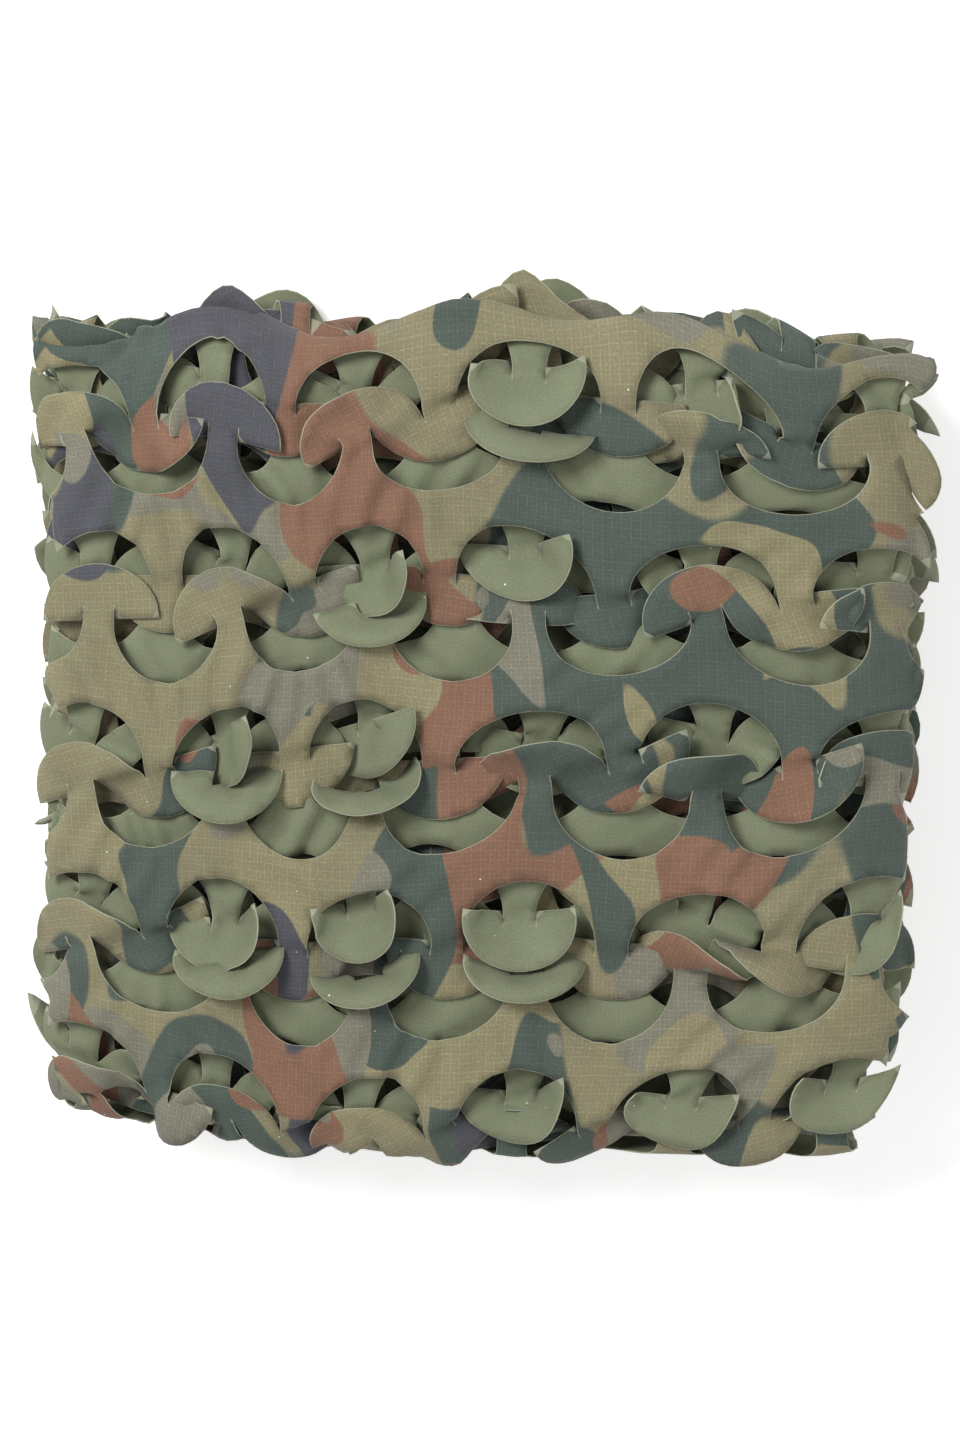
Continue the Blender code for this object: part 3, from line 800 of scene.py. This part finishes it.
def spread(tree, value, least, span):
    """least where value is 0, and more by span where it is 1."""
    return math_node(tree, "MULTIPLY_ADD", value, span, least)


def worn_cloth():
    """Tone changes, lint, lighter ripstop lines and the pale fuzzy cut edge, over any cloth colour."""
    tree, given, out = group(
        "WornCloth",
        {"Color": "NodeSocketColor", "Cloth": "NodeSocketVector", "Cut": "NodeSocketFloat",
         "Lines": "NodeSocketFloat", "Line Strength": "NodeSocketFloat"},
        {"Color": "NodeSocketColor", "Roughness": "NodeSocketFloat"})
    cloth = given["Cloth"]
    tone = spread(tree, noise(tree, cloth, scale=55.0, detail=3.0), least=0.83, span=0.34)
    grain = spread(tree, noise(tree, cloth, scale=1300.0, detail=1.0), least=0.75, span=0.50)
    toned = math_node(tree, "MULTIPLY", tone, grain)
    colour = mixed(tree, 1.0, given["Color"], grey(tree, toned), "MULTIPLY")
    gain = spread(tree, given["Lines"], least=1.0, span=given["Line Strength"])
    colour = mixed(tree, 1.0, colour, grey(tree, gain), "MULTIPLY")
    fuzz = noise(tree, cloth, scale=1100.0)
    width = spread(tree, fuzz, least=-0.00005, span=0.0006)
    inward = math_node(tree, "DIVIDE", given["Cut"], width)
    frayed = math_node(tree, "SUBTRACT", 1.0, step_up(tree, inward, low=0.55, high=1.1))
    colour = mixed(tree, math_node(tree, "MULTIPLY", frayed, 0.70), colour, CUT_EDGE)
    specks = put(tree, "TexVoronoi", {"feature": "F1"}, Vector=cloth, Scale=95.0)
    lint = math_node(tree, "LESS_THAN", specks.outputs["Distance"], LINT_SIZE)
    pick = put(tree, "SeparateColor", i0=specks.outputs["Color"]).outputs[0]
    some = math_node(tree, "GREATER_THAN", pick, LINT_FREE)
    colour = mixed(tree, math_node(tree, "MULTIPLY", lint, some), colour, LINT)
    tree.links.new(colour, out["Color"])
    tree.links.new(spread(tree, fuzz, least=0.78, span=0.14), out["Roughness"])
    return tree


PRINT_GROUP = woodland_print()
RIPSTOP_GROUP = ripstop()
WORN_GROUP = worn_cloth()


def cloth_material(name, colour, lines, bump):
    """A Principled cloth finish. colour is the plain colour of the face, or None for the woodland print."""
    material = bpy.data.materials.new(name)
    material.use_nodes = True
    tree = material.node_tree
    cloth = put(tree, "UVMap", {"uv_map": "cloth"}).outputs[0]
    cut = put(tree, "Attribute", {"attribute_name": "cut"}).outputs["Fac"]
    weave = put(tree, "Group", {"node_tree": RIPSTOP_GROUP}, Cloth=cloth)
    if colour is None:
        colour = put(tree, "Group", {"node_tree": PRINT_GROUP}, Cloth=cloth).outputs[0]
    worn = put(tree, "Group", {"node_tree": WORN_GROUP}, Color=colour, Cloth=cloth, Cut=cut,
               Lines=weave.outputs["Lines"], **{"Line Strength": lines})
    relief = put(tree, "Bump", Height=weave.outputs["Height"], Distance=0.0001, Strength=bump)
    face = tree.nodes["Principled BSDF"]
    tree.links.new(worn.outputs["Color"], face.inputs["Base Color"])
    tree.links.new(worn.outputs["Roughness"], face.inputs["Roughness"])
    tree.links.new(relief.outputs[0], face.inputs["Normal"])
    face.inputs["Specular IOR Level"].default_value = 0.25
    face.inputs["Sheen Weight"].default_value = 0.06
    face.inputs["Sheen Roughness"].default_value = 0.5
    return material


PRINTED_FACE = cloth_material("printed_face", None, lines=0.36, bump=0.6)
SAGE_REVERSE = cloth_material("sage_reverse", SAGE, lines=0.06, bump=0.35)
PALE_EDGE = cloth_material("pale_cut_edge", CUT_EDGE, lines=0.0, bump=0.3)


def dress(sheet, at):
    """Makes the settled sheet a piece: thin cloth with its print, its reverse and its cut edges."""
    bm = sheet.bm
    uv = bm.loops.layers.uv.new("cloth")
    cut = bm.verts.layers.float.new("cut")
    edge_points = [v for v in bm.verts if v.is_boundary]
    tree = KDTree(len(edge_points))
    for number, vert in enumerate(edge_points):
        tree.insert((*sheet.flat[vert.index], 0), number)
    tree.balance()
    for vert in bm.verts:
        x, s = sheet.flat[vert.index]
        vert[cut] = 0.0 if vert.is_boundary else min(tree.find((x, s, 0))[2], CUT_REACH)
        for loop in vert.link_loops:
            loop[uv].uv = (x, s)
    for vert, place in zip(bm.verts, at):
        vert.co = place
    mesh = bpy.data.meshes.new(sheet.name)
    bm.to_mesh(mesh)
    mesh.shade_smooth()
    piece = bpy.data.objects.new(sheet.name, mesh)
    bpy.context.scene.collection.objects.link(piece)
    for material in (PRINTED_FACE, SAGE_REVERSE, PALE_EDGE):
        mesh.materials.append(material)
    wall = piece.modifiers.new("cloth", "SOLIDIFY")
    wall.thickness = CLOTH_THICKNESS
    wall.offset = 0
    wall.material_offset = 1
    wall.material_offset_rim = 2
    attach(piece, "root")
    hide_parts("camo_net")


# ---------------------------------------------------------------------------------------------------------
# The top fold: the printed layer that shows and the sage one under it, whose leaves come up through the
# holes in places. It runs on past the near turn and rolls over it.

TOP_SPACING = 0.0034
TOP_FIRST_ROW = 0.038
TOP_LEVELS = (0.076, 0.083)
TOP_SEED = 1
TOP_TURNS = (ROLL_START, 0.152)
TOP_TAILS = (0.025, 0.059)
# For each row from the far side, and each cap from the left: P where the printed cap lies on top, S where a
# sage leaf from the layer below lies over it, and F where besides the printed cap is folded back on itself.
TOP_CAPS = ["PPPFFP", "PPFSPP", "PFFPPP", "PFFFPS", "PPPSSS"]
FIRST_CAP = -1
TOP_LEAVES = range(-1, 6)
CUT_LOOSE = {(0, 0), (1, -1), (2, 3)}
STEPS = 220
TOP_LID = 0.008
TOP_SLACK = 0.004
# How far flaps are led up or down while the cloth is drawn open, as one height or a range of them.
CAP_UNDER = -0.005
CAP_OVER = (0.002, 0.006)
LEAF_UNDER = -0.006
LEAF_OVER = (0.002, 0.005)
SAGE_OVER = 0.014
SAGE_TILT = (0.0, 0.020)
SAGE_CAP = (-0.003, 0.003)
SAGE_LEAF = (0.0, 0.004)
# Ranges of fold, swing and lean, for the caps that are folded back and for the leaves on the rolled end.
FOLDED_BACK = ((2.2, 2.9), (-0.4, 0.4), (-0.25, 0.25))
END_LEAVES = ((0.2, 1.0), (-0.5, 0.5), (-0.4, 0.4))
# Row, column, fold, swing and lean.
TWISTED_CAPS = [(0, -1, 0.4, 0.0, 0.3), (0, 1, 0.3, -0.5, -0.3), (0, 3, 1.5, -0.6, 0.6),
                (1, 4, 0.2, 0.2, -0.5), (2, 2, 0.9, -0.3, 0.3), (2, 3, 1.1, 0.3, -0.6),
                (3, 3, 0.3, 0.3, 0.4)]
TWISTED_LEAVES = [(0, 0, 0.2, 0.3, 0.4), (0, 4, 0.2, 0.3, -0.3), (2, 4, 0.4, -0.4, 0.7),
                  (2, -1, 0.5, 0.2, 0.6), (3, 4, 0.3, 0.4, -0.5)]

over_it = {(row, column) for row, caps in enumerate(TOP_CAPS)
           for column, cap in enumerate(caps, FIRST_CAP) if cap in "SF"}
freed = over_it | {(-1 - row, column) for row, column in over_it} | CUT_LOOSE
top_fold = Sheet("top_fold", TOP_LEVELS, TOP_SPACING, TOP_FIRST_ROW, TOP_SEED, TOP_TURNS, TOP_TAILS,
                 runs_on=True, freed=freed)
chance = top_fold.rng
for number, caps in enumerate(TOP_CAPS):
    row = top_fold.first_print + number
    below = top_fold.first_print - 1 - number
    for column, which in enumerate(caps, FIRST_CAP):
        over = which in "SF"
        top_fold.lead(top_fold.is_cap, row, column, CAP_UNDER if over else chance.uniform(*CAP_OVER))
        top_fold.lead(top_fold.is_cap, below, column, SAGE_OVER if over else chance.uniform(*SAGE_CAP),
                      chance.uniform(*SAGE_TILT) if over else 0.0)
        if which == "F":
            top_fold.pose(top_fold.is_cap, row, column, *(chance.uniform(*turn) for turn in FOLDED_BACK))
        elif (number, column) not in freed:
            top_fold.stiffen(row, column)
    for column in TOP_LEAVES:
        under = any(cap in "SF" for cap in caps[max(column, 0):column + 2])
        rise = LEAF_UNDER if under else chance.choice([-1, 1]) * chance.uniform(*LEAF_OVER)
        top_fold.lead(top_fold.is_leaf, row, column, rise)
        top_fold.lead(top_fold.is_leaf, below, column, -chance.uniform(*SAGE_LEAF))
for kind, twists in ((top_fold.is_cap, TWISTED_CAPS), (top_fold.is_leaf, TWISTED_LEAVES)):
    for number, column, *turns in twists:
        top_fold.pose(kind, top_fold.first_print + number, column, *turns)
last_row = top_fold.first_print + len(TOP_CAPS) - 1
for column in TOP_LEAVES:
    top_fold.pose(top_fold.is_leaf, last_row, column, *(chance.uniform(*turn) for turn in END_LEAVES))
settled = top_fold.settle(STEPS, TOP_LID, TOP_SLACK)
dress(top_fold, on_bundle(settled, np.ones(len(settled), bool)))


# ---------------------------------------------------------------------------------------------------------
# The folds below it: five more of the same cloth, seen through the holes and from the sides. They lie loose
# on each other, and their leaves lie as they fell.

LOWER_SPACING = 0.0046
LOWER_STEPS = STEPS * 2 // 3
LOWER_LID = 0.006
LOWER_SLACK = 0.005
FLOOR_GAP = 0.0005
FIRST_SEED = 11
LED_COLUMNS = range(-3, 7)
LOWER_LEAD = (0.002, 0.007)
TURNED_LEAVES = ((-0.3, 0.9), (-0.6, 0.6), (-0.5, 0.5))  # ranges of fold, swing and lean
# Name, levels, first row, turns and slide.
LOWER_FOLDS = [("second_fold", (0.061, 0.069), 0.012, (0.138, 0.155), 0.004),
               ("third_fold", (0.046, 0.054), 0.047, (0.136, 0.147), -0.019),
               ("fourth_fold", (0.031, 0.039), 0.016, (0.139, 0.151), 0.023),
               ("fifth_fold", (0.016, 0.024), 0.034, (0.137, 0.149), 0.012),
               ("bottom_fold", (0.0015, 0.009), 0.055, (0.134, 0.147), -0.009)]

for seed, (name, levels, first_row, turns, slide) in enumerate(LOWER_FOLDS, FIRST_SEED):
    fold = Sheet(name, levels, LOWER_SPACING, first_row, seed, turns, slide=slide)
    for row in range(len(fold.rows)):
        for column in LED_COLUMNS:
            for kind in (fold.is_leaf, fold.is_cap):
                fold.lead(kind, row, column, fold.rng.choice([-1, 1]) * fold.rng.uniform(*LOWER_LEAD))
    for row, kind in ((fold.first_print - 1, fold.is_leaf), (fold.first_print, fold.is_cap),
                      (0, fold.is_cap), (len(fold.rows) - 1, fold.is_leaf)):
        for column in COLUMNS:
            fold.pose(kind, row, column, *(fold.rng.uniform(*turn) for turn in TURNED_LEAVES))
    settled = fold.settle(LOWER_STEPS, LOWER_LID, min(levels[0] - FLOOR_GAP, LOWER_SLACK))
    dress(fold, on_bundle(settled, np.zeros(len(settled), bool)))


# ---------------------------------------------------------------------------------------------------------
# The stage: a white floor, a soft lamp over the far left, a weaker one over the right side, and a camera
# above the bundle, tipped a little.

FRAME_WIDTH = 0.342  # of the picture, at the height of the bundle's top
CAMERA_TILT = math.radians(12)
CAMERA_DISTANCE = 1.5
AIM = Vector((0.0, 0.005, 0.060))
FLOOR_SIZE = 6
FLOOR_WHITE = 0.92
FLOOR_GLOW = 0.40  # like a lit tabletop, it washes out the bundle's shadow
SKY_STRENGTH = 0.42

stage = bmesh.new()
bmesh.ops.create_grid(stage, x_segments=1, y_segments=1, size=FLOOR_SIZE)
floor_mesh = bpy.data.meshes.new("floor")
stage.to_mesh(floor_mesh)
stage.free()
floor = bpy.data.objects.new("floor", floor_mesh)
bpy.context.scene.collection.objects.link(floor)
floor_paint = bpy.data.materials.new("pale_floor")
floor_paint.use_nodes = True
paint = floor_paint.node_tree.nodes["Principled BSDF"]
paint.inputs["Base Color"].default_value = (FLOOR_WHITE, FLOOR_WHITE, FLOOR_WHITE, 1)
paint.inputs["Roughness"].default_value = 0.9
paint.inputs["Emission Color"].default_value = (1, 1, 1, 1)
paint.inputs["Emission Strength"].default_value = FLOOR_GLOW
floor_mesh.materials.append(floor_paint)


def lamp(name, place, energy, size):
    """A square lamp that faces the middle of the floor."""
    light = bpy.data.lights.new(name, "AREA")
    light.energy = energy
    light.size = size
    holder = bpy.data.objects.new(name, light)
    holder.location = place
    holder.rotation_euler = Vector(place).to_track_quat("Z", "Y").to_euler()
    bpy.context.scene.collection.objects.link(holder)


lamp("key_lamp", (-0.9, 0.9, 1.5), energy=34, size=0.7)
lamp("fill_lamp", (1.3, -0.3, 1.4), energy=10, size=1.2)

world = bpy.data.worlds.new("studio")
world.use_nodes = True
sky = world.node_tree.nodes["Background"]
sky.inputs["Color"].default_value = (1, 1, 1, 1)
sky.inputs["Strength"].default_value = SKY_STRENGTH
bpy.context.scene.world = world
bpy.context.scene.view_settings.view_transform = "Standard"

camera_data = bpy.data.cameras.new("camera")
camera_data.sensor_fit = "HORIZONTAL"
camera_data.lens = camera_data.sensor_width * CAMERA_DISTANCE / FRAME_WIDTH
camera = bpy.data.objects.new("camera", camera_data)
camera.rotation_euler = (-CAMERA_TILT, 0, 0)
camera.location = AIM + CAMERA_DISTANCE * Vector((0, math.sin(CAMERA_TILT), math.cos(CAMERA_TILT)))
bpy.context.scene.collection.objects.link(camera)
bpy.context.scene.camera = camera
